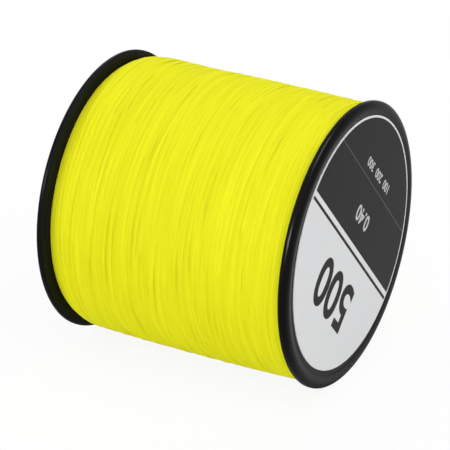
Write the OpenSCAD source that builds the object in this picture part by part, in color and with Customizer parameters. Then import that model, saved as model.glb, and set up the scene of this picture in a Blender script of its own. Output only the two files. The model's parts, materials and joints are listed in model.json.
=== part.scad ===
// Fishing line spool: two moulded halves pushed together at mid-width, a round
// label in the recess of the front flange, and braided line wound almost to the rims.
// Sizes are in millimetres. The spool lies on its rims with its axis along Y,
// its labelled front faces -Y, and the origin is on the axis at mid-width.

/* [Flanges] */
// Outer diameter of both flanges
flange_d = 65; // [58:0.5:75]
// Width of the spool over both flanges
spool_w = 62.2; // [50:0.2:75]
// Thickness of a flange
flange_t = 2.5; // [2.2:0.1:3.5]
// How far the rim's rounding reaches in from the edge
rim_round = 1.9; // [1:0.1:2.2]
// Depth of the rim's rounding on the outer face
rim_outer = 1; // [0.5:0.1:1]
// Depth of the rim's rounding on the line's side
rim_inner = 1.2; // [0.5:0.1:1.2]

/* [Hub] */
// Diameter of the hub that the line is wound on
hub_d = 46; // [36:0.5:50]
// Wall of the hub
hub_wall = 2.4; // [2:0.1:3]
// Diameter of the spindle bore, which is blind behind the label
bore_d = 10; // [6:0.5:14]
// Wall of the tube round the bore
tube_wall = 2; // [1.5:0.1:3]
// Chamfer at the mouth of the bore
bore_chamfer = 0.8; // [0.3:0.1:1.2]
// Gap between the two ends of the tube at mid-width
tube_gap = 0.2; // [0.1:0.1:0.6]
// Number of webs between the tube and the hub
web_count = 6; // [3:1:8]
// Thickness of a web
web_t = 1.5; // [1:0.1:2]
// Room between the webs and the end of the spigot
web_clear = 4; // [1:0.5:8]

/* [Joint of the halves] */
// Length of the spigot on the front half
spigot_l = 5; // [3:0.5:7]
// Number of keys that stop the halves turning
key_count = 3; // [2:1:6]
// Width of a key
key_w = 5; // [3:0.5:8]
// Clearance round the spigot and the keys
joint_gap = 0.1; // [0.05:0.05:0.2]

/* [Label] */
// Diameter of the label
label_d = 57.6; // [48:0.2:58]
// Thickness of the label
label_t = 0.2; // [0.1:0.05:0.3]
// How far the label was stuck off centre, to +X
label_off_x = 0.3; // [-0.3:0.1:0.3]
// How far the label was stuck off centre, upwards
label_off_z = 0.5; // [-0.5:0.1:0.5]
// Least gap between the label and the wall of its recess
label_gap = 0.15; // [0.05:0.05:0.3]
// Depth of the recess in both outer faces
recess_depth = 0.3; // [0.3:0.05:0.6]

/* [Line] */
// Diameter of the braided line
line_d = 0.4; // [0.2:0.05:0.6]
// Turns in the outer layer
line_turns = 24; // [8:1:24]
// Depth of the fullest turn below the rim
line_below_rim = 0.5; // [0.3:0.1:3]
// Swell of the winding from its shoulders to mid-width
line_crown = 0.5; // [0:0.1:1.5]
// Fall of the winding at each flange
shoulder_drop = 1.6; // [0.5:0.1:2]
// Width over which the winding falls
shoulder_w = 1.9; // [1.5:0.1:4]
// Radius of the bends at the two ends of the outer layer
line_bend = 1.2; // [1:0.1:2]
// Clearance between the line and what it lies on
line_gap = 0.05; // [0.02:0.01:0.1]

/* [Line keeper] */
// Play of the line's end in the slit of the rear rim
slit_play = 0.2; // [0.1:0.05:0.4]
// Place of the slit round the rim, from +X upwards
slit_angle = 24; // [0:1:60]
// How far the end of the line is cut back from the rear face
tail_cut = 0.4; // [0.2:0.1:1]

/* [Starting tape] */
// Length of the tape round the hub
tape_l = 20; // [10:1:30]
// Width of the tape along the hub
tape_w = 12; // [8:1:20]
// Thickness of the tape
tape_t = 0.15; // [0.05:0.05:0.3]

/* [Hidden] */
$fn = 128;
// Steps in each rounding of the rim and in each shoulder of the winding
round_steps = 8;
// Steps along the swell of the winding
crown_steps = 16;
// Rings in a turn of the outer layer, rings in an end bend, and sides of the line
turn_rings = 24;
bend_rings = 5;
line_sides = 6;
// Overlap of fused shapes, and overrun of cuts
fuse = 0.5;

flange_r = flange_d / 2;
half_w = spool_w / 2;
line_half = half_w - flange_t;
hub_r = hub_d / 2;
hub_in = hub_r - hub_wall;
bore_r = bore_d / 2;
tube_r = bore_r + tube_wall;
web_stop = spigot_l + web_clear;
spigot_r = hub_r - hub_wall / 2 - joint_gap / 2;
socket_r = spigot_r + joint_gap;
label_r = label_d / 2;
recess_r = label_r + norm([label_off_x, label_off_z]) + label_gap;

// Outer radius of the winding at mid-width, and the straight run of its ends
line_top = flange_r - line_below_rim;
end_run = line_gap + line_d;
// Half width of the helix between the end bends
helix_half = line_half - end_run - line_bend;
// How far the chord between two rings dips below the turn that it follows
chord = cos(180 / turn_rings);
line_pitch = 2 * helix_half / line_turns;

// Outer radius of the winding at a distance z from mid-width
function line_r(z) =
    let (
        from_flange = line_half - min(abs(z), line_half),
        rise = min(max((from_flange - end_run) / shoulder_w, 0), 1)
    )
    line_top - line_crown * pow(min(abs(z) / line_half, 1), 2) - shoulder_drop * (1 - sin(90 * rise));

// Radius of the middle of the line in the outer layer, and of the core below it
function turn_r(z) = line_r(z) - line_d / 2;
function core_r(z) = turn_r(z) * chord - line_d / 2 - line_gap;

// Radius of the line's end, and the floor of the slit that it lies in
tail_r = turn_r(line_half);
slit_w = line_d + 2 * slit_play;
slit_floor = tail_r - slit_w / 2;

// Part of an ellipse round [r, z]
function rounding(r, z, size_r, size_z, from, to) = [
    for (i = [0:round_steps])
        let (a = from + (to - from) * i / round_steps)
        [r + size_r * cos(a), z + size_z * sin(a)]
];

// Half section of a flange, from the axis out, with its rounded rim
flange_outline = concat(
    [[0, half_w], [0, line_half]],
    rounding(flange_r - rim_round, line_half + rim_inner, rim_round, rim_inner, -90, 0),
    rounding(flange_r - rim_round, half_w - rim_outer, rim_round, rim_outer, 0, 90)
);

// Places across the winding where its section gets a point, from front to rear
core_half = line_half - line_gap;
shoulder_z = [for (i = [0:round_steps]) core_half - line_d - shoulder_w * i / round_steps];
crown_z = [
    for (i = [1:crown_steps - 1])
        shoulder_z[round_steps] * (1 - 2 * i / crown_steps)
];
section_z = concat(
    [core_half],
    shoulder_z,
    crown_z,
    [for (i = [round_steps:-1:0]) -shoulder_z[i]],
    [-core_half]
);
core_outline = concat(
    [[hub_r + line_gap, -core_half], [hub_r + line_gap, core_half]],
    [for (z = section_z) [core_r(z), z]]
);

// The outer layer as one route of [radius, angle, z]: out of the front flange,
// round the bend, down the helix, round the other bend and out through the slit
bend_turn = line_bend / tail_r * 180 / PI;
helix_start = slit_angle - bend_turn;
front_run = [for (z = [core_half, core_half - line_d]) [tail_r, helix_start - bend_turn, z]];
front_bend = [
    for (i = [1:bend_rings])
        let (a = 90 * i / bend_rings, z = helix_half + line_bend * (1 - sin(a)))
        [turn_r(z), helix_start - bend_turn * cos(a), z]
];
helix = [
    for (i = [1:turn_rings * line_turns])
        let (z = helix_half - line_pitch * i / turn_rings)
        [turn_r(z), helix_start + 360 * i / turn_rings, z]
];
rear_bend = [
    for (i = [1:bend_rings])
        let (a = 90 * i / bend_rings, z = -helix_half - line_bend * (1 - cos(a)))
        [turn_r(z), helix_start + bend_turn * sin(a), z]
];
tail = [for (z = [-core_half, -half_w + tail_cut]) [tail_r, slit_angle, z]];
route = concat(front_run, front_bend, helix, rear_bend, tail);
route_points = [for (p = route) [p[0] * cos(p[1]), p[0] * sin(p[1]), p[2]]];

// Least gap of the outer layer to itself, over rings at least half a turn apart
last_ring = len(route_points) - 1;
least_gap = min([
    for (i = [0:last_ring - turn_rings / 2], j = [i + turn_rings / 2:last_ring])
        norm(route_points[i] - route_points[j])
]) - line_d;
echo(least_gap_of_the_outer_layer_to_itself = least_gap);

function unit(v) = v / norm(v);

// A closed tube of triangles along points, with one side facing away from the axis
module tube_along(points, d, sides) {
    last = len(points) - 1;
    rings = [
        for (i = [0:last])
            let (
                along = unit(points[min(i + 1, last)] - points[max(i - 1, 0)]),
                across = unit(cross(along, [points[i].x, points[i].y, 0])),
                out = cross(across, along)
            )
            for (k = [0:sides - 1])
                points[i] + d / 2 * (cos(360 * k / sides) * out + sin(360 * k / sides) * across)
    ];
    walls = [
        for (i = [0:last - 1], k = [0:sides - 1])
            let (a = i * sides + k, b = i * sides + (k + 1) % sides)
            for (face = [[a, b, b + sides], [a, b + sides, a + sides]])
                face
    ];
    first_cap = [for (k = [1:sides - 2]) [0, k + 1, k]];
    last_cap = [for (k = [1:sides - 2]) [last * sides, last * sides + k, last * sides + k + 1]];
    polyhedron(rings, concat(walls, first_cap, last_cap));
}

// A ring between two radii, from z0 up to z1
module ring(outer_r, inner_r, z0, z1) {
    translate([0, 0, z0])
        difference() {
            cylinder(h = z1 - z0, r = outer_r);
            translate([0, 0, -fuse])
                cylinder(h = z1 - z0 + 2 * fuse, r = inner_r);
        }
}

// The key bars seen along the axis, each of width w and reaching out to radius r
module key_bars(w, r, z0, z1) {
    for (i = [0:key_count - 1])
        rotate(360 * i / key_count)
            translate([0, -w / 2, z0])
                cube([r, w, z1 - z0]);
}

// What both halves share: flange, half of the hub, half of the tube, and webs
module half_blank() {
    difference() {
        union() {
            rotate_extrude()
                polygon(flange_outline);
            ring(hub_r, hub_in, 0, line_half + fuse);
            translate([0, 0, tube_gap / 2])
                cylinder(h = line_half - tube_gap / 2 + fuse, r = tube_r);
            for (i = [0:web_count - 1])
                rotate(360 * (i + 0.5) / web_count)
                    translate([0, -web_t / 2, web_stop])
                        cube([hub_in + fuse, web_t, line_half - web_stop + fuse]);
        }
        cylinder(h = line_half, r = bore_r);
        translate([0, 0, half_w - recess_depth])
            cylinder(h = recess_depth + fuse, r = recess_r);
    }
}

// Turns the spool from its own axis, front up, to where it lies
module lie_down() {
    rotate([90, 0, 0])
        children();
}

// Front flange and half hub, with the slotted spigot
module front_half() {
    color("#1b1b1d")
        lie_down() {
            half_blank();
            difference() {
                ring(spigot_r, hub_in, -spigot_l, fuse);
                key_bars(key_w + 2 * joint_gap, hub_r, -spigot_l - fuse, 0);
            }
        }
}

// Rear flange and half hub, with the keyed socket, the bore's mouth and the line slit
module rear_half() {
    color("#1b1b1d")
        lie_down() {
            difference() {
                mirror([0, 0, 1])
                    half_blank();
                ring(socket_r, hub_in - fuse, -spigot_l - joint_gap, fuse);
                translate([0, 0, -half_w - fuse])
                    cylinder(h = flange_t + 2 * fuse, r = bore_r);
                translate([0, 0, -half_w + recess_depth])
                    cylinder(h = bore_chamfer, r1 = bore_r + bore_chamfer, r2 = bore_r);
                rotate(slit_angle)
                    translate([slit_floor, -slit_w / 2, -half_w - fuse])
                        cube([flange_r, slit_w, flange_t + 2 * fuse]);
            }
            intersection() {
                ring(hub_r - joint_gap, hub_in, -spigot_l - joint_gap - fuse, -joint_gap);
                key_bars(key_w, hub_r, -spigot_l - joint_gap - fuse, -joint_gap);
            }
        }
}

// Round label lying on the floor of the front recess
module front_label() {
    color("#d6d7da")
        lie_down()
            translate([label_off_x, label_off_z, half_w - recess_depth])
                cylinder(h = label_t, r = label_r);
}

// Space of the starting tape on the hub, with room added outside it
module tape_space(room) {
    intersection() {
        ring(hub_r + line_gap + tape_t + room, hub_r + line_gap, -line_half, line_half);
        translate([0, -tape_l / 2 - room, -tape_w / 2 - room])
            cube([flange_r, tape_l + 2 * room, tape_w + 2 * room]);
    }
}

// Inner layers of the line, as one plain body with the swell and shoulders of the winding
module line_core() {
    color("#d9d821")
        lie_down()
            difference() {
                rotate_extrude()
                    polygon(core_outline);
                tape_space(line_gap);
            }
}

// Outer layer of the line, one unbroken tube
module line_winding() {
    color("#edec24")
        lie_down()
            tube_along(route_points, line_d, line_sides);
}

// Tape that holds the first turn of the line to the hub
module start_tape() {
    color("#e6e0c8")
        lie_down()
            tape_space(0);
}

front_half();
rear_half();
front_label();
line_core();
line_winding();
start_tape();
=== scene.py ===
# %% [markdown]
# # A spool of braided fishing line
#
# The spool is a black plastic bobbin made of two halves, with a round printed label on its
# front and bright yellow line wound almost to the rims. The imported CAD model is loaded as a
# fixed frame. Sizes are read from it where it has them, and are otherwise real sizes in
# metres, written as so many millimetres.

# %% Load the frame
import json
import math

import bpy
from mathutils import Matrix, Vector, noise


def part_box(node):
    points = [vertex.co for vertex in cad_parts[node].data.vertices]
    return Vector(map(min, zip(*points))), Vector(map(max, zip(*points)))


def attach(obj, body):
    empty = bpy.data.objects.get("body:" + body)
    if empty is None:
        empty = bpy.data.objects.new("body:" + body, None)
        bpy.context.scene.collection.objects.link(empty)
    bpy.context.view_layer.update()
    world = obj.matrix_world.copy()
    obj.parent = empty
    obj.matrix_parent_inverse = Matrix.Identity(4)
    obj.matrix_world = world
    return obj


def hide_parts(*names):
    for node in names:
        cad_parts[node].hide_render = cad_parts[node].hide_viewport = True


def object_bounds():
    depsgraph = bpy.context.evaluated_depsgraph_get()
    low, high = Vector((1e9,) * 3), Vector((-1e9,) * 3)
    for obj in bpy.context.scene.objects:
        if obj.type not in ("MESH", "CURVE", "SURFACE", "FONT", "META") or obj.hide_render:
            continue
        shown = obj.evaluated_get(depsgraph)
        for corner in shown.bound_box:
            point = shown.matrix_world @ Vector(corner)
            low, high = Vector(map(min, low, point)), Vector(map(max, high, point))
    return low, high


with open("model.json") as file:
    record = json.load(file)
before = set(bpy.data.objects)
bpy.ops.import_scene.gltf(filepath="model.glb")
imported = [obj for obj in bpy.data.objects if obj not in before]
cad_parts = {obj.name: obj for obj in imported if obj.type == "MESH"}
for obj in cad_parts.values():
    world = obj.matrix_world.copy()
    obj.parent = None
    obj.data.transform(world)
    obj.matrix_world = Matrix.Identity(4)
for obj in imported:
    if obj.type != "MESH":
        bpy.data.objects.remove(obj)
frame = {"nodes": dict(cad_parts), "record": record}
cad_low, cad_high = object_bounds()
MM = 0.001
print("CAD box in mm:", [round(side / MM, 2) for side in cad_high - cad_low])

# %% [markdown]
# ## Camera
#
# The photograph looks at the spool from the front left and from above through a long lens, so
# the rims are calm ellipses that hardly shrink towards the back. The camera stands on that
# line of sight and looks at the middle of the spool. Turning the camera would move the spool to
# its place in the picture, but it would change the perspective a little, so a small lens shift
# does it.

# %% Stand the camera
IMAGE_SIDE = 450
SPOOL_AT_PIXEL = (228.3, 216.0)
VIEW_AZIMUTH = 298.29
VIEW_ELEVATION = 26.82
VIEW_DISTANCE = 554 * MM
LENS = 196.5
CLIP_START = 10 * MM


def direction(azimuth, elevation):
    """Unit vector to a point seen at an azimuth, from the front, and an elevation in degrees."""
    turn, tilt = math.radians(azimuth), math.radians(elevation)
    return Vector((
        math.sin(turn) * math.cos(tilt), -math.cos(turn) * math.cos(tilt), math.sin(tilt),
    ))


def facing(towards):
    """Turn of a lamp or camera that stands on that side and looks at the middle."""
    return towards.to_track_quat("Z", "Y").to_euler()


towards_camera = direction(VIEW_AZIMUTH, VIEW_ELEVATION)
bpy.ops.object.camera_add(
    location=towards_camera * VIEW_DISTANCE, rotation=facing(towards_camera),
)
camera = bpy.context.object
camera.data.lens = LENS
camera.data.shift_x = (IMAGE_SIDE / 2 - SPOOL_AT_PIXEL[0]) / IMAGE_SIDE
camera.data.shift_y = (SPOOL_AT_PIXEL[1] - IMAGE_SIDE / 2) / IMAGE_SIDE
camera.data.clip_start = CLIP_START
bpy.context.scene.camera = camera
bpy.context.scene.view_settings.view_transform = "Standard"
print("camera at", [round(place, 3) for place in camera.location])

# %% [markdown]
# ## Shader maths
#
# A finish is easier to read as an expression than as a picture of nodes. `Wire` wraps one
# output socket, and plain operators on it add Math nodes. `Nodes` holds a node tree, and its
# one method `add` makes any other node from its type, its settings and its sockets. `Finish`
# is a material with the few patterns that this spool needs.

# %% Wires
class Wire:
    """One value in a node tree. Arithmetic on it adds Math nodes."""

    def __init__(self, nodes, socket):
        self.nodes = nodes
        self.socket = socket

    def math(self, operation, *values):
        """A Math node on one or two values."""
        return self.nodes.add("ShaderNodeMath", {"operation": operation}, dict(enumerate(values)))

    def __add__(self, other):
        return self.math("ADD", self, other)

    def __sub__(self, other):
        return self.math("SUBTRACT", self, other)

    def __rsub__(self, other):
        return self.math("SUBTRACT", other, self)

    def __mul__(self, other):
        return self.math("MULTIPLY", self, other)

    def __lt__(self, other):
        return self.math("LESS_THAN", self, other)

    def __gt__(self, other):
        return self.math("GREATER_THAN", self, other)

    def cosine(self):
        return self.math("COSINE", self)

    __radd__ = __add__
    __rmul__ = __mul__


# %% Node trees
class Nodes:
    """A node tree whose nodes are added one call at a time."""

    def __init__(self, tree):
        self.tree = tree

    def add(self, kind, settings=None, sockets=None, out=0):
        """Makes a node: its settings come first, then the values or links of its sockets."""
        node = self.tree.nodes.new(kind)
        for setting, value in (settings or {}).items():
            if setting == "stops":
                for stop, (place, grey) in zip(node.color_ramp.elements, value):
                    stop.position = place
                    stop.color = (grey, grey, grey, 1)
            else:
                setattr(node, setting, value)
        for socket, value in (sockets or {}).items():
            self.plug(node.inputs[socket], value)
        return Wire(self, node.outputs[out])

    def plug(self, socket, value):
        """Links a wire to a socket, or sets the socket to a plain value."""
        if isinstance(value, Wire):
            self.tree.links.new(value.socket, socket)
        else:
            socket.default_value = value

    def seen(self):
        """1 for what the camera, a reflection or a clear material sees directly."""
        return (
            self.add("ShaderNodeLightPath", out="Is Camera Ray")
            + self.add("ShaderNodeLightPath", out="Is Glossy Ray")
            + self.add("ShaderNodeLightPath", out="Is Transmission Ray")
        )


def rgb(red, green, blue):
    """A colour with no transparency."""
    return (red, green, blue, 1.0)


# %% Finishes
class Finish(Nodes):
    """A material: values that are the same all over, and patterns fed to it later."""

    def __init__(self, name, uniform):
        self.material = bpy.data.materials.new(name)
        self.material.use_nodes = True
        super().__init__(self.material.node_tree)
        self.shader = self.tree.nodes["Principled BSDF"]
        self.feed(uniform)

    def feed(self, sockets):
        """Sets or links sockets of the Principled shader."""
        for socket, value in sockets.items():
            self.plug(self.shader.inputs[socket], value)

    def place(self, scale):
        """Object coordinates, stretched by scale."""
        coordinates = self.add("ShaderNodeTexCoord", out="Object")
        return self.add("ShaderNodeMapping", {}, {"Vector": coordinates, "Scale": scale})

    def distance(self, axes):
        """Distance from the middle of the spool, along the axes that are 1."""
        away = self.place(axes)
        return self.add("ShaderNodeVectorMath", {"operation": "LENGTH"}, {0: away}, out="Value")

    def from_axis(self):
        """Distance from the spool's axis."""
        return self.distance((1, 0, 1))

    def from_middle(self):
        """Distance along the axis from the middle of the spool."""
        return self.distance((0, 1, 0))

    def above_axis(self):
        """Height above the spool's axis, below it negative."""
        return self.add("ShaderNodeSeparateXYZ", {}, {0: self.place((1, 1, 1))}, out=2)

    def speckle(self, grains, detail=2.0):
        """Noise in so many grains a metre along x, y and z, from 0 to 1 and 0.5 on average."""
        return self.add("ShaderNodeTexNoise", {}, {
            "Vector": self.place(grains), "Scale": 1.0, "Detail": detail,
        })

    def sharpened(self, value, low, high):
        """0 below low and 1 above high."""
        return self.add(
            "ShaderNodeValToRGB", {"stops": [(low, 0), (high, 1)]}, {"Fac": value},
        )

    def blend(self, share, colour, other):
        """One colour, with a share of another."""
        return self.add(
            "ShaderNodeMix", {"data_type": "RGBA"}, {0: share, 6: colour, 7: other}, out=2,
        )

    def bump(self, height, depth):
        """Surface relief of so many metres between a height of 0 and of 1."""
        return self.add("ShaderNodeBump", {}, {"Height": height, "Distance": depth})

    def tell(self):
        """Prints how many nodes the finish took."""
        print("finish", self.material.name, "has", len(self.tree.nodes), "nodes")


# %% [markdown]
# ## Floor and light
#
# The photograph is a studio picture on pure white. More light could burn the floor out to white,
# but it would bleach the spool as well. So the floor is white by its own colour, and what the
# camera and reflections see of it is lifted towards white: nearly so round the spool, where a
# faint shadow stays, and all the way further off. One broad lamp stands over the camera, one
# lights the front face, a weak one the back, and the world fills in from all round. Their sum is
# close to 1, so colours render as written. Two small bright lamps only show in gloss: they draw
# the thin highlights on the rims and a faint sheen on the line.

# %% Lay the floor
FLOOR_SIDE = 6.0
FLOOR_WHITE = rgb(0.87, 0.87, 0.87)
FLOOR_ROUGHNESS = 0.9
FLOOR_LIFT = 0.91
SHADOW_NEAR = 50 * MM
SHADOW_FAR = 160 * MM

bpy.ops.object.select_all(action="DESELECT")
bpy.ops.mesh.primitive_plane_add(size=FLOOR_SIDE, location=(0, 0, cad_low.z))
floor = bpy.context.object
floor.name = "floor"
bpy.ops.object.transform_apply()
white_floor = Finish("white_floor", {"Base Color": FLOOR_WHITE, "Roughness": FLOOR_ROUGHNESS})
far = white_floor.sharpened(white_floor.distance((1, 1, 0)), SHADOW_NEAR, SHADOW_FAR)
glow = white_floor.add("ShaderNodeEmission", {}, {"Strength": 1.0})
lifted = white_floor.add("ShaderNodeMixShader", {}, {
    0: white_floor.seen() * (FLOOR_LIFT + far * (1 - FLOOR_LIFT)),
    1: Wire(white_floor, white_floor.shader.outputs[0]),
    2: glow,
})
white_floor.plug(white_floor.tree.nodes["Material Output"].inputs["Surface"], lifted)
floor.data.materials.append(white_floor.material)
print("floor at", round(cad_low.z / MM, 2), "mm")

# %% Light the studio
WORLD_LIGHT = 0.56
WHITE = rgb(1, 1, 1)

world = bpy.data.worlds.new("studio")
bpy.context.scene.world = world
world.use_nodes = True
studio = Nodes(world.node_tree)
sky = world.node_tree.nodes["Background"]
studio.plug(sky.inputs["Color"], WHITE)
studio.plug(sky.inputs["Strength"], studio.seen() * (1 - WORLD_LIGHT) + WORLD_LIGHT)
print("world light:", WORLD_LIGHT, "on the spool, 1 to the camera")

# %% Stand the lamps
LAMP_DISTANCE = 0.9
# Name, azimuth and elevation in degrees, side in metres, power in watts
SOFT_LAMPS = (
    ("lamp_over_camera", 292, 55, 0.8, 3.25),
    ("lamp_front", 350, 40, 0.6, 1.6),
    ("lamp_rear", 145, 15, 0.8, 2.4),
)
GLOSS_LAMPS = (
    ("gloss_left", 249, 22, 0.2, 16),
    ("gloss_top", 90, 85, 0.45, 24),
)


def softbox(name, azimuth, elevation, side, power):
    """A square lamp, aimed at the spool from LAMP_DISTANCE."""
    towards = direction(azimuth, elevation)
    bpy.ops.object.light_add(
        type="AREA", location=towards * LAMP_DISTANCE, rotation=facing(towards),
    )
    lamp = bpy.context.object
    lamp.name = name
    lamp.data.size = side
    lamp.data.energy = power
    return lamp


for placing in SOFT_LAMPS:
    softbox(*placing)
for placing in GLOSS_LAMPS:
    softbox(*placing).visible_diffuse = False

# %% [markdown]
# ## The two plastic halves
#
# Each half is a moulding that is round about the axis: hub, flange, rounded rim and a shallow
# recess in the outer face. It could be revolved with Spin, but here one circle of vertices is
# extruded and scaled from ring to ring, as a turner follows a section. That gives even rings
# with no seam, so the glossy rims shade without facets. All round pieces are modelled
# standing up, front face on top, and laid down when they are done.

# %% Sizes of the spool
FLANGE_THICKNESS = 2.5 * MM
LABEL_PLAY = 0.15 * MM

front_low, front_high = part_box("front_half")
label_low, label_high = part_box("front_label")
flange_radius = front_high.x
half_width = -front_low.y
line_half = half_width - FLANGE_THICKNESS
bore_radius = frame["record"]["mounts"][0]["dims"]["r_mm"] * MM
label_radius = (label_high.x - label_low.x) / 2
label_x = (label_high.x + label_low.x) / 2
label_z = (label_high.z + label_low.z) / 2
recess_radius = label_radius + math.hypot(label_x, label_z) + LABEL_PLAY
print("radius in mm: flange", round(flange_radius / MM, 2), "recess", round(recess_radius / MM, 2))

# %% Turn a section
SEGMENTS = 256
TINY = 0.001 * MM


def pick(piece):
    """Makes a piece the only selected one."""
    bpy.ops.object.select_all(action="DESELECT")
    piece.select_set(True)
    bpy.context.view_layer.objects.active = piece


def turned(name, section):
    """Follows a section of radii and heights from ring to ring. Open ends are filled."""
    bpy.ops.object.select_all(action="DESELECT")
    first_radius, first_height = section[0]
    bpy.ops.mesh.primitive_circle_add(
        vertices=SEGMENTS, radius=first_radius, location=(0, 0, first_height),
    )
    piece = bpy.context.object
    piece.name = name
    bpy.ops.object.transform_apply()
    bpy.ops.object.mode_set(mode="EDIT")
    bpy.ops.mesh.select_mode(type="EDGE")
    bpy.ops.mesh.select_all(action="SELECT")
    open_ended = section[0] != section[-1]
    if open_ended:
        bpy.ops.mesh.edge_face_add()
    for (radius, height), (next_radius, next_height) in zip(section, section[1:]):
        bpy.ops.mesh.extrude_edges_move(
            TRANSFORM_OT_translate={"value": (0, 0, next_height - height)}
        )
        scale = next_radius / radius
        bpy.ops.transform.resize(value=(scale, scale, 1))
    if open_ended:
        bpy.ops.mesh.edge_face_add()
    bpy.ops.mesh.select_all(action="SELECT")
    bpy.ops.mesh.remove_doubles(threshold=TINY)
    bpy.ops.mesh.normals_make_consistent(inside=False)
    bpy.ops.object.mode_set(mode="OBJECT")
    return piece


# %% Finish a piece
SHARP_ANGLE = math.radians(35)


def smooth(piece):
    """Smooth shading that keeps sharp corners, with the large faces kept flat."""
    pick(piece)
    bpy.ops.object.shade_smooth_by_angle(angle=SHARP_ANGLE)
    bpy.ops.object.modifier_add(type="WEIGHTED_NORMAL")
    piece.modifiers[-1].keep_sharp = True
    bpy.ops.object.modifier_apply(modifier=piece.modifiers[-1].name)


def lay_down(piece):
    """Lays a standing piece on its side, so that its front faces -Y."""
    pick(piece)
    piece.rotation_euler.x = math.pi / 2
    bpy.ops.object.transform_apply()


def settle(piece, finish, slot, *nodes):
    """Gives a piece its finish, and its place on the CAD frame."""
    piece.data.materials.clear()
    piece.data.materials.append(finish.material)
    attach(piece, "root")
    if nodes:
        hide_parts(*nodes)
    print(piece.name, "has", len(piece.data.polygons), "faces")


# %% [markdown]
# The plastic is black with a soft gloss. It is nearly all reflection: dark where the view
# meets it squarely and grey where it is seen at a slant, which a low base colour gives by
# itself. The rims are glossy and keep the deepest black. Off the rim the black is painted a little
# lighter, a painted reflection of the bright front on the flat faces. The recess has the finely
# eroded grain that keeps a label from sliding, so roughness and relief change at the recess's
# edge.
# The inner faces are worn dull by the line, and patches near them are painted olive, a painted
# reflection of the yellow line in them. The rims are scuffed where the spool stands on them. Such
# places could be painted on a map. Here each is a mask that is worked out from the distance to the
# axis or to the middle, so it fits the shape by itself.

# %% Places on the plastic
PLASTIC_SPECULAR = 0.03
RIM_INNER = 1.2 * MM
# A blend is the value at which a mask starts, and the value at which it is full
RIM_BLEND = (0.935, 0.975)
SCUFF_BLEND = (0.55, 0.9)
# How far out from the inner faces the painted reflection of the yellow line reaches
PAINTED_REFLECTION_DEPTH = 0.6 * MM
REFLECTION_PATCHES = (60, 900, 60)
REFLECTION_PATCH_BLEND = (0.25, 0.55)

black_plastic = Finish("moulded_plastic", {"Specular IOR Level": PLASTIC_SPECULAR})
in_recess = black_plastic.from_axis() < recess_radius
outwards = black_plastic.from_axis() * (1 / flange_radius)
on_rim = black_plastic.sharpened(outwards, *RIM_BLEND)
below = black_plastic.above_axis() * (-1 / flange_radius)
scuffed = black_plastic.sharpened(below, *SCUFF_BLEND) * on_rim
inside = black_plastic.from_middle() < line_half + RIM_INNER
# Patches where the plastic gets a painted reflection of the yellow line
reflection_patches = black_plastic.sharpened(black_plastic.speckle(REFLECTION_PATCHES, detail=3), *REFLECTION_PATCH_BLEND)
painted_reflection_mask = (black_plastic.from_middle() < line_half + PAINTED_REFLECTION_DEPTH) * reflection_patches
print("rims polished beyond a radius of", round(RIM_BLEND[1] * flange_radius / MM, 1), "mm")

# %% Colour of the plastic
POLISHED_DEEP = rgb(0.004, 0.004, 0.004)
POLISHED_PALE = rgb(0.006, 0.006, 0.0062)
# Off the rim the black is painted lighter: a painted reflection of the bright front on the flat
# faces
PAINTED_FACE_REFLECTION_BLACK = rgb(0.018, 0.018, 0.0185)
# Olive black: a painted reflection of the yellow line in the glossy inner faces
PAINTED_YELLOW_REFLECTION = rgb(0.011, 0.012, 0.003)
ERODED_DEEP = rgb(0.008, 0.008, 0.008)
ERODED_PALE = rgb(0.040, 0.040, 0.041)
CLOUDS = (300, 300, 300)
GRAIN = (9000, 9000, 9000)

clouds = black_plastic.speckle(CLOUDS, detail=4)
grain = black_plastic.speckle(GRAIN)
polished = black_plastic.blend(clouds, POLISHED_DEEP, POLISHED_PALE)
# Deepest black on the rim, with the painted reflection lighter off it
rim_and_painted_face_reflection = black_plastic.blend(on_rim, PAINTED_FACE_REFLECTION_BLACK, polished)
# Painted reflection of the yellow line near the inner faces
with_painted_reflections = black_plastic.blend(painted_reflection_mask, rim_and_painted_face_reflection, PAINTED_YELLOW_REFLECTION)
eroded = black_plastic.blend(grain, ERODED_DEEP, ERODED_PALE)
# Base colour with the painted reflections off the rim and near the inner faces
black_plastic.feed({"Base Color": black_plastic.blend(in_recess, with_painted_reflections, eroded)})

# %% Gloss and relief of the plastic
RIM_GLOSS = 0.20
CLOUD_DULL = 0.08
RECESS_DULL = 0.2
RUBBED_DULL = 0.47
SCUFFED_DULL = 0.35
PLASTIC_RELIEF = 0.02 * MM
FACE_GRAIN = 0.1
RECESS_GRAIN = 0.6
RIPPLE = (700, 700, 700)
RIPPLE_SHARE = 0.3

ripple = black_plastic.speckle(RIPPLE)
relief = grain * (in_recess * RECESS_GRAIN + FACE_GRAIN) + ripple * RIPPLE_SHARE
black_plastic.feed({
    "Roughness": (
        RIM_GLOSS + clouds * CLOUD_DULL + in_recess * RECESS_DULL + inside * RUBBED_DULL
        + scuffed * (1 - inside) * SCUFFED_DULL
    ),
    "Normal": black_plastic.bump(relief, PLASTIC_RELIEF),
})
black_plastic.tell()

# %% [markdown]
# A section is a list of radii and heights. Both halves have the same flange, so that stretch is
# written once: out along the inner face, round the rim in two quarter ellipses, and in over the
# outer face to the small round edge of the recess. The outer face falls by about a tenth of a
# millimetre on the way in. A flat face would be simpler, but it would shine evenly, and the real
# one doesn't.

# %% Section of a flange
HUB_RADIUS = 23 * MM
RIM_ROUND = 1.9 * MM
RIM_OUTER = 1.0 * MM
RIM_STEPS = 14
FACE_DISH = 0.13 * MM
RECESS_DEPTH = 0.3 * MM
RECESS_LIP = 0.12 * MM
LIP_STEPS = 4


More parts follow.
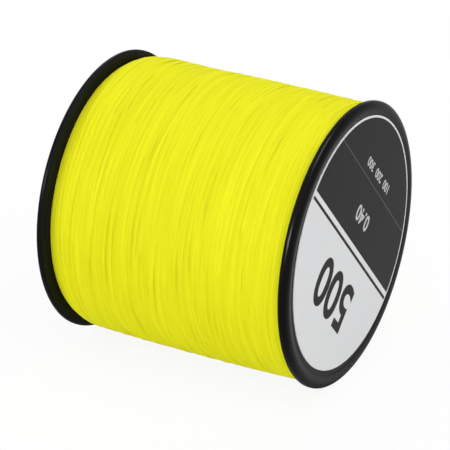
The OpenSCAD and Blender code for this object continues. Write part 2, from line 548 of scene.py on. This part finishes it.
def arc(centre, radii, start, end, steps):
    """Points of an ellipse round a centre, between two angles in degrees."""
    angles = [math.radians(start + (end - start) * step / steps) for step in range(steps + 1)]
    return [
        (centre[0] + radii[0] * math.cos(angle), centre[1] + radii[1] * math.sin(angle))
        for angle in angles
    ]


rim_middle = flange_radius - RIM_ROUND
flange_section = [
    (HUB_RADIUS, 0),
    (HUB_RADIUS, line_half),
    *arc((rim_middle, line_half + RIM_INNER), (RIM_ROUND, RIM_INNER), -90, 0, RIM_STEPS),
    *arc((rim_middle, half_width - RIM_OUTER), (RIM_ROUND, RIM_OUTER), 0, 90, RIM_STEPS),
    *arc(
        (recess_radius + RECESS_LIP, half_width - FACE_DISH - RECESS_LIP),
        (RECESS_LIP, RECESS_LIP), 90, 180, LIP_STEPS,
    ),
    (recess_radius, half_width - RECESS_DEPTH),
]
print("flange section of", len(flange_section), "rings")

# %% Sections of the halves
HUB_INSIDE = 20.6 * MM
TUBE_RADIUS = 7 * MM
TUBE_END = 0.1 * MM
BORE_CHAMFER = 0.8 * MM
SPIGOT_LENGTH = 5 * MM
SPIGOT_RADIUS = 21.75 * MM
JOINT_GAP = 0.1 * MM

front_section = [
    (bore_radius, line_half),
    (bore_radius, TUBE_END),
    (TUBE_RADIUS, TUBE_END),
    (TUBE_RADIUS, line_half),
    (HUB_INSIDE, line_half),
    (HUB_INSIDE, -SPIGOT_LENGTH),
    (SPIGOT_RADIUS, -SPIGOT_LENGTH),
    (SPIGOT_RADIUS, 0),
    *flange_section,
]
bore_mouth = half_width - RECESS_DEPTH
rear_section = [
    (bore_radius, TUBE_END),
    (TUBE_RADIUS, TUBE_END),
    (TUBE_RADIUS, line_half),
    (HUB_INSIDE, line_half),
    (HUB_INSIDE, SPIGOT_LENGTH + JOINT_GAP),
    (SPIGOT_RADIUS + JOINT_GAP, SPIGOT_LENGTH + JOINT_GAP),
    (SPIGOT_RADIUS + JOINT_GAP, 0),
    *flange_section,
    (bore_radius + BORE_CHAMFER, bore_mouth),
    (bore_radius, bore_mouth - BORE_CHAMFER),
    (bore_radius, TUBE_END),
]
print("front section of", len(front_section), "rings, rear of", len(rear_section))

# %% [markdown]
# Inside the hub, webs like spokes brace the spindle tube. The front half has a spigot that is
# pushed into the socket of the rear half, and three keys in the socket fit slots in the spigot, so
# the halves can't turn. The rear half also has a slit through its rim, where the end of the line
# is caught. None of this is round. It could be extruded from faces of the rings, but these would
# first have to be cut to its outline, so plain boxes are added and taken away with Booleans.

# %% Spokes and cuts
def spokes(count, turn, inner, outer, width, low, high):
    """Boxes that stand round the axis between two radii, joined to one object."""
    boxes = []
    middle = (inner + outer) / 2
    for spoke in range(count):
        angle = turn + 2 * math.pi * spoke / count
        bpy.ops.object.select_all(action="DESELECT")
        bpy.ops.mesh.primitive_cube_add(
            size=1, scale=(outer - inner, width, high - low), rotation=(0, 0, angle),
            location=(middle * math.cos(angle), middle * math.sin(angle), (low + high) / 2),
        )
        boxes.append(bpy.context.object)
    for box in boxes:
        box.select_set(True)
    if count > 1:
        bpy.ops.object.join()
    return bpy.context.object


def combine(piece, operation, tool):
    """Adds a tool's shape to a piece, or takes it away, and removes the tool."""
    pick(piece)
    bpy.ops.object.modifier_add(type="BOOLEAN")
    piece.modifiers[-1].operation = operation
    piece.modifiers[-1].object = tool
    bpy.ops.object.modifier_apply(modifier=piece.modifiers[-1].name)
    bpy.data.objects.remove(tool)


# %% Turn the front half
WEB_COUNT = 6
WEB_THICKNESS = 1.5 * MM
WEB_END = 9 * MM
KEY_COUNT = 3
KEY_WIDTH = 5 * MM
OVERLAP = 0.5 * MM
web_turn = math.pi / WEB_COUNT
web_inner = TUBE_RADIUS - OVERLAP
web_outer = HUB_INSIDE + OVERLAP

front_half = turned("front_half_moulding", front_section)
combine(front_half, "UNION", spokes(
    WEB_COUNT, web_turn, web_inner, web_outer, WEB_THICKNESS, WEB_END, line_half + OVERLAP,
))
combine(front_half, "DIFFERENCE", spokes(
    KEY_COUNT, 0, HUB_INSIDE - OVERLAP, SPIGOT_RADIUS + OVERLAP, KEY_WIDTH + 2 * JOINT_GAP,
    -SPIGOT_LENGTH - OVERLAP, 0,
))
smooth(front_half)
lay_down(front_half)
settle(front_half, black_plastic, "black_plastic", "front_half")

# %% Turn the rear half
SLIT_WIDTH = 0.8 * MM
SLIT_FLOOR = 29.3 * MM
SLIT_ANGLE = math.radians(24)

rear_half = turned("rear_half_moulding", [(radius, -height) for radius, height in rear_section])
combine(rear_half, "UNION", spokes(
    WEB_COUNT, web_turn, web_inner, web_outer, WEB_THICKNESS, -line_half - OVERLAP, -WEB_END,
))
combine(rear_half, "UNION", spokes(
    KEY_COUNT, 0, HUB_INSIDE, SPIGOT_RADIUS + OVERLAP, KEY_WIDTH,
    -SPIGOT_LENGTH - OVERLAP, -JOINT_GAP,
))
combine(rear_half, "DIFFERENCE", spokes(
    1, SLIT_ANGLE, SLIT_FLOOR, flange_radius + OVERLAP, SLIT_WIDTH,
    -half_width - OVERLAP, OVERLAP - line_half,
))
smooth(rear_half)
lay_down(rear_half)
settle(rear_half, black_plastic, "black_plastic", "rear_half")

# %% [markdown]
# ## The wound line
#
# A winding machine lays the line in long helices from flange to flange and back, so strands
# cross at about a degree and the surface looks streaked rather than threaded. A barrel with
# stripes in its material could show that from afar, but it would have a smooth outline and no
# shadows between strands, so the strands are modelled. The ends slope down to the flanges, where
# the line turns back. One function gives the outer radius of the winding, and everything below
# follows it.

# %% Shape of the winding
LINE_DIAMETER = 0.4 * MM
LINE_BELOW_RIM = 0.4 * MM
LINE_CROWN = 0.5 * MM
REAR_DROP = 1.6 * MM
REAR_SLOPE = 4 * MM
FRONT_DROP = 0.3 * MM
FRONT_SLOPE = 1.9 * MM
SWELL = 0.5 * MM
SWELL_PLACE = -21.5 * MM
SWELL_WIDTH = 6 * MM
SWELL_BLEND = (0.7, 0.85)
line_top = flange_radius - LINE_BELOW_RIM


def ease(value, low, high):
    """0 below low, 1 above high, and a smooth rise between them."""
    share = min(max((value - low) / (high - low), 0), 1)
    return share * share * (3 - 2 * share)


def winding_radius(height, angle):
    """Outer radius of the wound line. Towards the rear it is fuller near the top."""
    away = min(abs(height) / line_half, 1)
    drop, slope = (FRONT_DROP, FRONT_SLOPE) if height > 0 else (REAR_DROP, REAR_SLOPE)
    rise = min(max((line_half - abs(height) - LINE_DIAMETER) / slope, 0), 1)
    fall = drop * (1 - math.sin(math.pi / 2 * rise))
    fuller = ease(math.sin(angle), *SWELL_BLEND)
    swell = SWELL * fuller * math.exp(-((height - SWELL_PLACE) / SWELL_WIDTH) ** 2)
    return line_top - LINE_CROWN * away ** 2 - fall + swell


print("line of radius", round(winding_radius(0, 0) / MM, 2), "mm in the middle")

# %% [markdown]
# The dyed braid is a strong yellow. Stripes round the spool would be simple, but they would never
# cross. A curve that is made a mesh has a UV map, here with U in metres along the line and V once
# round it, so tones can follow the line itself. Each stretch is a little paler or deeper than its
# neighbours. This is a tone that differs at random, and it partly stands in for the painted
# shading of strands that twist. The paler stretches are whiter, a painted sheen. In patches the
# edges of strands are painted darker, a painted shade for the gaps between strands. The weave of
# the braid is a relief of small diamonds.

# %% Tones along the line
LINE_SPECULAR = 0.02
TONES_PER_METRE = 30
# Patches of painted shade along the line, so many a metre
GROOVE_SHADES_PER_METRE = 45
BANDS = (15, 220, 15)
TONE_BLEND = (0.3, 0.7)
EDGE_BLEND = (0.3, 0.9)
GROOVE_SHADE_BLEND = (0.25, 0.85)
ALONG = 0
ROUND = 1
TWICE_ROUND = 4 * math.pi

line_yellow = Finish("dyed_braid", {"Specular IOR Level": LINE_SPECULAR})


def on_line(scale, way):
    """Place along the line or round it, times a scale."""
    place = line_yellow.add("ShaderNodeUVMap", {"uv_map": "UVMap"})
    return line_yellow.add("ShaderNodeSeparateXYZ", {}, {0: place}, out=way) * scale


def line_noise(grains, detail):
    """Noise along the line, in grains a metre."""
    return line_yellow.add("ShaderNodeTexNoise", {"noise_dimensions": "1D"}, {
        "W": on_line(grains, ALONG), "Scale": 1.0, "Detail": detail,
    })


# Tones that differ at random, and partly painted shading of strands that twist
tones = line_yellow.sharpened(line_noise(TONES_PER_METRE, 2), *TONE_BLEND)
bands = line_yellow.sharpened(line_yellow.speckle(BANDS, detail=1), *TONE_BLEND)
carriers = on_line(TWICE_ROUND, ROUND)
# 0 in the middle of a strand's flat sides, and 1 on its edges
flank = 0.5 - 0.5 * carriers.cosine()
edges = line_yellow.sharpened(flank, *EDGE_BLEND)
# Patches where strand edges get painted shade, as in the shadowed gaps between strands
groove_shade = line_yellow.sharpened(line_noise(GROOVE_SHADES_PER_METRE, 1), *GROOVE_SHADE_BLEND)
print("tones of about", round(1000 / TONES_PER_METRE), "mm along the line")

# %% Colour and weave of the line
# The pale tone is whiter than the deep one, a painted sheen over the dye's own tone
LINE_PALE_AND_SHEEN = rgb(0.885, 0.875, 0.018)
LINE_DEEP = rgb(0.755, 0.735, 0.006)
# Painted shade for the gaps between strands
PAINTED_GROOVE_SHADE = rgb(0.60, 0.575, 0.006)
LEAST_PALE = 0.18
TONE_SHARE = 0.6
BAND_SHARE = 0.1
LINE_ROUGHNESS = 0.6
PALE_ROUGHER = 0.15
BRAID_PICK = 1.0 * MM
BRAID_RELIEF = 0.005 * MM
PICK_SLIP = 9

picks = on_line(2 * math.pi / BRAID_PICK, ALONG) + PICK_SLIP * tones
weave = (picks + carriers).cosine() * (picks - carriers).cosine()
pale = TONE_SHARE * tones + BAND_SHARE * bands + LEAST_PALE
# Random tone with painted strand shading, and painted sheen in the paler stretches
tone_and_sheen = line_yellow.blend(pale, LINE_DEEP, LINE_PALE_AND_SHEEN)
line_yellow.feed({
    # Painted shade on strand edges, over the tones
    "Base Color": line_yellow.blend(edges * groove_shade, tone_and_sheen, PAINTED_GROOVE_SHADE),
    "Roughness": tones * PALE_ROUGHER + LINE_ROUGHNESS,
    "Normal": line_yellow.bump(weave, BRAID_RELIEF),
})
line_yellow.tell()

# %% [markdown]
# Most of the line lies under the outer layers, where nobody sees it. It could be wound strand by
# strand too, but it only has to close the gaps between the strands above, so it is one barrel. The
# barrel is turned as the halves are, and its outside is then fitted to the winding, which isn't
# quite round.

# %% Barrel of the inner layers
CORE_DEPTH = 0.45 * MM
CORE_STEPS = 60
CORE_GAP = 0.05 * MM
TAPE_ROOM = 0.25 * MM
core_half = line_half - CORE_GAP
core_inner = HUB_RADIUS + TAPE_ROOM
core_section = [(core_inner, -core_half)]
for step in range(CORE_STEPS + 1):
    height = -core_half + 2 * core_half * step / CORE_STEPS
    core_section.append((winding_radius(height, 0) - CORE_DEPTH, height))
core_section.append((core_inner, core_half))
core_section.append(core_section[0])

line_core = turned("line_inner_layers", core_section)
for vertex in line_core.data.vertices:
    angle = math.atan2(vertex.co.y, vertex.co.x)
    radius = math.hypot(vertex.co.x, vertex.co.y)
    if radius > core_inner + CORE_GAP:
        wanted = winding_radius(vertex.co.z, angle) - CORE_DEPTH
        vertex.co.x *= wanted / radius
        vertex.co.y *= wanted / radius
smooth(line_core)
lay_down(line_core)
settle(line_core, line_yellow, "braided_line", "line_core")

# %% [markdown]
# The outer layers are one long line. A stack of rings would be easier to make, but only a helix
# that runs to and fro crosses itself as the real line does, so its points are worked out step by
# step. A slow random wander sideways makes the strands bunch and part. Braid that is wound tight
# goes flat, so the curve is bevelled with a flat oval, and the Z Up twist keeps the oval lying on
# the spool while the axis stands up.

# %% Route of the outer strands
PASSES = 20
TURNS_PER_PASS = 11.37
STEPS_PER_TURN = 72
STRAND_WIDTH = 1.2 * MM
STRAND_HEIGHT = 0.33 * MM
PASS_DEPTH = 0.19 * MM
WANDER = 1.4 * MM
WANDERS_PER_TURN = 2.1
WANDER_SEED = (3.7, 0)
SHIVER = 0.1 * MM
SHIVERS_PER_TURN = 9.3
SHIVER_SEED = (1.3, 2)
SINK = 0.26 * MM
SINKS_PER_TURN = 1.7
SINK_SEED = (9.1, 5)
ROUNDED_ENDS = 0.985
span = line_half - LINE_DIAMETER
all_turns = PASSES * TURNS_PER_PASS


def drift(turns, per_turn, seed):
    """A smooth random change along the line, from -1 to 1."""
    return noise.noise((turns * per_turn, *seed))


def strand_point(step):
    """Where the strand is after so many steps, with the spool standing up."""
    turns = step / STEPS_PER_TURN
    passes = turns / TURNS_PER_PASS
    angle = SLIT_ANGLE + 2 * math.pi * (turns - all_turns)
    sweep = math.asin(ROUNDED_ENDS * math.sin(math.pi * (passes - 0.5))) / math.asin(ROUNDED_ENDS)
    height = span * sweep + WANDER * drift(turns, WANDERS_PER_TURN, WANDER_SEED)
    height += SHIVER * drift(turns, SHIVERS_PER_TURN, SHIVER_SEED)
    height = max(-span, min(span, height))
    sink = SINK * (1 + drift(turns, SINKS_PER_TURN, SINK_SEED)) / 2
    depth = PASS_DEPTH * (1 - passes / PASSES) + sink
    radius = winding_radius(height, angle) - STRAND_HEIGHT / 2 - depth
    return (radius * math.cos(angle), radius * math.sin(angle), height)


print("outer strands:", PASSES, "passes,", round(all_turns), "turns")

# %% Curves made meshes
FINE_WELD = TINY / 10


def poly_curve(name, points, cyclic=False):
    """A curve with straight runs between points."""
    curve = bpy.data.curves.new(name, "CURVE")
    curve.dimensions = "3D"
    spline = curve.splines.new("POLY")
    spline.points.add(len(points) - 1)
    spline.use_cyclic_u = cyclic
    for point, place in zip(spline.points, points):
        point.co = (*place, 1)
    piece = bpy.data.objects.new(name, curve)
    bpy.context.collection.objects.link(piece)
    return piece


def made_mesh(piece):
    """Makes a curve or a number a closed mesh, smooth where it is round."""
    piece.data.use_fill_caps = True
    pick(piece)
    bpy.ops.object.convert(target="MESH")
    bpy.ops.object.mode_set(mode="EDIT")
    bpy.ops.mesh.select_all(action="SELECT")
    bpy.ops.mesh.delete_loose()
    bpy.ops.mesh.select_all(action="SELECT")
    bpy.ops.mesh.remove_doubles(threshold=FINE_WELD)
    bpy.ops.mesh.normals_make_consistent(inside=False)
    bpy.ops.object.mode_set(mode="OBJECT")
    bpy.ops.object.shade_smooth_by_angle(angle=SHARP_ANGLE)


# %% Maps along the line
END_MARGIN = 0.02
ROW_MARGIN = 0.1


def map_line(piece, length, rows):
    """Puts U in metres, and adds a map for baking with the line cut into rows."""
    maps = piece.data.uv_layers
    maps.new(name="OFBake")
    along, baked = maps["UVMap"].data, maps["OFBake"].data
    for face in piece.data.polygons:
        middle = sum(along[corner].uv.x for corner in face.loop_indices) / face.loop_total
        row = min(math.floor(middle * rows), rows - 1)
        for corner in face.loop_indices:
            share, round_line = along[corner].uv
            in_row = END_MARGIN + (1 - 2 * END_MARGIN) * (share * rows - row)
            up_row = ROW_MARGIN + (1 - 2 * ROW_MARGIN) * round_line
            baked[corner].uv = (in_row, (row + up_row) / rows)
    for corner in along:
        corner.uv.x *= length


# %% Oval of a pressed strand
STRAND_SIDES = 8

oval = poly_curve("flat_oval", [
    (
        STRAND_HEIGHT / 2 * math.cos(2 * math.pi * side / STRAND_SIDES) ** 3,
        STRAND_WIDTH / 2 * math.sin(2 * math.pi * side / STRAND_SIDES), 0,
    )
    for side in range(STRAND_SIDES)
], cyclic=True)
print("strand of", round(STRAND_WIDTH / MM, 2), "by", round(STRAND_HEIGHT / MM, 2), "mm")

# %% Wind the strands
PASSES_PER_PIECE = 5
turns_per_piece = TURNS_PER_PASS * PASSES_PER_PIECE
steps_per_piece = round(STEPS_PER_TURN * turns_per_piece)
length_per_piece = 2 * math.pi * line_top * turns_per_piece
for layer in range(PASSES // PASSES_PER_PIECE):
    steps = range(layer * steps_per_piece, (layer + 1) * steps_per_piece + 1)
    strands = poly_curve(f"line_strands_{layer + 1}", [strand_point(step) for step in steps])
    strands.data.twist_mode = "Z_UP"
    strands.data.bevel_mode = "OBJECT"
    strands.data.bevel_object = oval
    made_mesh(strands)
    map_line(strands, length_per_piece, math.ceil(turns_per_piece))
    lay_down(strands)
    replaced = ["line_winding"] if layer == 0 else []
    settle(strands, line_yellow, "braided_line", *replaced)
bpy.data.objects.remove(oval)
print("outer strands:", round(2 * math.pi * line_top * all_turns, 1), "m of line")

# %% [markdown]
# The last turn ends at the rear flange. There the line bends over and is caught in the slit of
# the rim, with its end cut just short of the rear face. This end isn't pressed flat, so it is
# a round cord along the same kind of curve.

# %% End of the line
LINE_BEND = 1.2 * MM
TAIL_CUT = 0.4 * MM
LEAD_TURN = math.radians(30)
LEAD_STEPS = 20
LEAD_RISE = (0.3, 1)
BEND_STEPS = 8
bend_height = span - LINE_BEND
tail_radius = winding_radius(line_half, SLIT_ANGLE) - LINE_DIAMETER / 2
bend_turn = LINE_BEND / tail_radius


def end_point(angle, height, sunk=0):
    """A point of the line's end, sunk a little below the outside of the winding."""
    radius = winding_radius(height, angle) - LINE_DIAMETER / 2 - sunk
    return (radius * math.cos(angle), radius * math.sin(angle), height)


end_route = []
for step in range(LEAD_STEPS):
    left = 1 - step / LEAD_STEPS
    angle = SLIT_ANGLE - bend_turn - LEAD_TURN * left
    end_route.append(end_point(angle, -bend_height, LINE_DIAMETER * ease(left, *LEAD_RISE)))
for step in range(BEND_STEPS + 1):
    bent = math.pi / 2 * step / BEND_STEPS
    angle = SLIT_ANGLE - bend_turn * (1 - math.sin(bent))
    end_route.append(end_point(angle, -bend_height - LINE_BEND * (1 - math.cos(bent))))
end_route.append(end_point(SLIT_ANGLE, -line_half))
end_route.append((*end_route[-1][:2], TAIL_CUT - half_width))
line_end = poly_curve("line_end", end_route)
line_end.data.bevel_depth = LINE_DIAMETER / 2
made_mesh(line_end)
end_length = sum(math.dist(*pair) for pair in zip(end_route, end_route[1:]))
map_line(line_end, end_length, 1)
lay_down(line_end)
settle(line_end, line_yellow, "braided_line")
print("line end:", round(end_length / MM, 1), "mm")

# %% [markdown]
# ## The label
#
# A round silver film is stuck in the front recess. It carries a plain two-tone print: a dark
# field over one half, two thin rules and plain numbers for length and thickness. The film's
# metal flakes are too fine to see one by one, so they are a faint speckle in its colour and gloss.

# %% Silver film
FILM_SPECULAR = 0.2
SILVER_DEEP = rgb(0.685, 0.69, 0.70)
SILVER_PALE = rgb(0.725, 0.73, 0.74)
FLAKE = (4000, 4000, 4000)
FILM_WAVE = (500, 500, 500)
FILM_ROUGHNESS = 0.35
FLAKE_ROUGHER = 0.15
FILM_RELIEF = 0.01 * MM

silver_film = Finish("silver_film", {"Specular IOR Level": FILM_SPECULAR})
flake = silver_film.speckle(FLAKE)
silver_film.feed({
    "Base Color": silver_film.blend(flake, SILVER_DEEP, SILVER_PALE),
    "Roughness": flake * FLAKE_ROUGHER + FILM_ROUGHNESS,
    "Normal": silver_film.bump(silver_film.speckle(FILM_WAVE), FILM_RELIEF),
})
silver_film.tell()

# %% Inks
INK_SPECULAR = 0.05
INK_DARK = rgb(0.006, 0.006, 0.0062)
INK_GREY = rgb(0.12, 0.12, 0.12)
INK_PALE = rgb(0.55, 0.55, 0.56)
MOTTLE = (900, 900, 900)
MOTTLE_DEEPER = 0.85
INK_ROUGHNESS = 0.25
MOTTLE_ROUGHER = 0.2
INK_RELIEF = 0.01 * MM


def ink(name, colour):
    """Printed ink: an even colour with a slightly uneven gloss and skin."""
    finish = Finish(name, {"Specular IOR Level": INK_SPECULAR})
    mottle = finish.speckle(MOTTLE, detail=3)
    deeper = rgb(*(part * MOTTLE_DEEPER for part in colour[:3]))
    finish.feed({
        "Base Color": finish.blend(mottle, deeper, colour),
        "Roughness": mottle * MOTTLE_ROUGHER + INK_ROUGHNESS,
        "Normal": finish.bump(mottle, INK_RELIEF),
    })
    finish.tell()
    return finish


dark_ink = ink("dark_ink", INK_DARK)
grey_ink = ink("grey_ink", INK_GREY)
pale_ink = ink("pale_ink", INK_PALE)

# %% Film
FILM_THICKNESS = 0.2 * MM
FILM_EDGE = 0.05 * MM
film_top = -label_low.y


def on_label(piece):
    """Moves a flat piece to the label's own middle, and lays it down with the spool."""
    pick(piece)
    piece.location = (label_x, label_z, 0)
    bpy.ops.object.transform_apply()
    lay_down(piece)


film = turned("label_film", [
    (label_radius, film_top - FILM_THICKNESS),
    (label_radius, film_top - FILM_EDGE),
    (label_radius - FILM_EDGE, film_top),
])
smooth(film)
on_label(film)
settle(film, silver_film, "label_film", "front_label")

# %% [markdown]
# The print could be painted on the film, but shapes need no image and stay crisp at any distance.
# Ink has almost no height, so each shape is a mesh a hundredth of a millimetre thick. A band is
# what two cuts leave of a disc. A number is a text object in the built-in font, made a little
# heavier with an offset, and it becomes a mesh before it is turned. The print is turned as the
# spool lies, and pale ink goes on top of the dark.

# %% Printed bands
INK = 0.01 * MM
ON_FILM = 1
ON_DARK_INK = 2
PRINT_TURN = math.radians(131.5)
BORDER = 0.5 * MM
DARK_RULE = (1.2 * MM, 1.9 * MM)
GREY_RULE = (-14.0 * MM, -13.8 * MM)
print_radius = label_radius - BORDER


def printed_band(name, low, high, layer, finish):
    """The part of a printed disc between two lines across it, in the print's own direction."""
    bpy.ops.object.select_all(action="DESELECT")
    bpy.ops.mesh.primitive_circle_add(
        vertices=SEGMENTS, radius=print_radius, fill_type="NGON",
        location=(0, 0, film_top + (layer - 1) * INK),
    )
    band = bpy.context.object
    band.name = name
    bpy.ops.object.mode_set(mode="EDIT")
    for cut, keep_above in ((low, True), (high, False)):
        bpy.ops.mesh.select_all(action="SELECT")
        bpy.ops.mesh.bisect(
            plane_co=(0, cut, film_top), plane_no=(0, 1, 0),
            clear_inner=keep_above, clear_outer=not keep_above,
        )
    bpy.ops.mesh.select_all(action="SELECT")
    bpy.ops.mesh.extrude_region_move(TRANSFORM_OT_translate={"value": (0, 0, INK)})
    bpy.ops.mesh.select_all(action="SELECT")
    bpy.ops.mesh.normals_make_consistent(inside=False)
    bpy.ops.object.mode_set(mode="OBJECT")
    band.rotation_euler.z = PRINT_TURN
    bpy.ops.object.transform_apply()
    on_label(band)
    settle(band, finish, "label_film")


printed_band("dark_field", -print_radius, 0, ON_FILM, dark_ink)
printed_band("dark_rule", *DARK_RULE, ON_FILM, dark_ink)
printed_band("grey_rule", *GREY_RULE, ON_DARK_INK, grey_ink)

# %% Printed numbers
NUMBER_WEIGHT = 0.025
LENGTH_SIZE = 15 * MM
LENGTH_PLACE = 12 * MM
THICKNESS_SIZE = 5 * MM
THICKNESS_PLACE = -6.5 * MM
SCALE_SIZE = 3 * MM
SCALE_PLACE = -17 * MM


def printed_number(name, text, size, place, layer, finish):
    """A number in the built-in font, thickened and made a mesh before it is placed."""
    bpy.ops.object.select_all(action="DESELECT")
    bpy.ops.object.text_add()
    number = bpy.context.object
    number.name = name
    number.data.body = text
    number.data.size = size
    number.data.align_x = "CENTER"
    number.data.align_y = "CENTER"
    number.data.offset = size * NUMBER_WEIGHT
    number.data.extrude = INK / 2
    made_mesh(number)
    number.location = (0, place, film_top + (layer - 0.5) * INK)
    bpy.ops.object.transform_apply()
    number.rotation_euler.z = PRINT_TURN
    bpy.ops.object.transform_apply()
    on_label(number)
    settle(number, finish, "label_film")


printed_number("number_length", "500", LENGTH_SIZE, LENGTH_PLACE, ON_FILM, dark_ink)
printed_number(
    "number_thickness", "0.40", THICKNESS_SIZE, THICKNESS_PLACE, ON_DARK_INK, pale_ink,
)
printed_number("number_scale", "100  200  300", SCALE_SIZE, SCALE_PLACE, ON_DARK_INK, pale_ink)

# %% [markdown]
# ## The tape under the line
#
# A short tape holds the first turn to the hub. It could be modelled again with its wrinkles, but
# it is hidden in the finished spool, so its CAD solid stays, with the fine crepe of paper tape in
# its material.

# %% Tape finish
TAPE_SPECULAR = 0.2
TAPE_DEEP = rgb(0.6, 0.5, 0.3)
TAPE_PALE = rgb(0.7, 0.6, 0.4)
CREPE = (300, 3000, 3000)
TAPE_ROUGHNESS = 0.6
CREPE_ROUGHER = 0.2
CREPE_RELIEF = 0.05 * MM

tape_film = Finish("crepe_tape", {"Specular IOR Level": TAPE_SPECULAR})
crepe = tape_film.speckle(CREPE)
tape_film.feed({
    "Base Color": tape_film.blend(crepe, TAPE_DEEP, TAPE_PALE),
    "Roughness": crepe * CREPE_ROUGHER + TAPE_ROUGHNESS,
    "Normal": tape_film.bump(crepe, CREPE_RELIEF),
})
tape_film.tell()
tape = frame["nodes"]["start_tape"]
tape.data.materials.clear()
tape.data.materials.append(tape_film.material)
print(tape.name, "wears", tape_film.material.name)
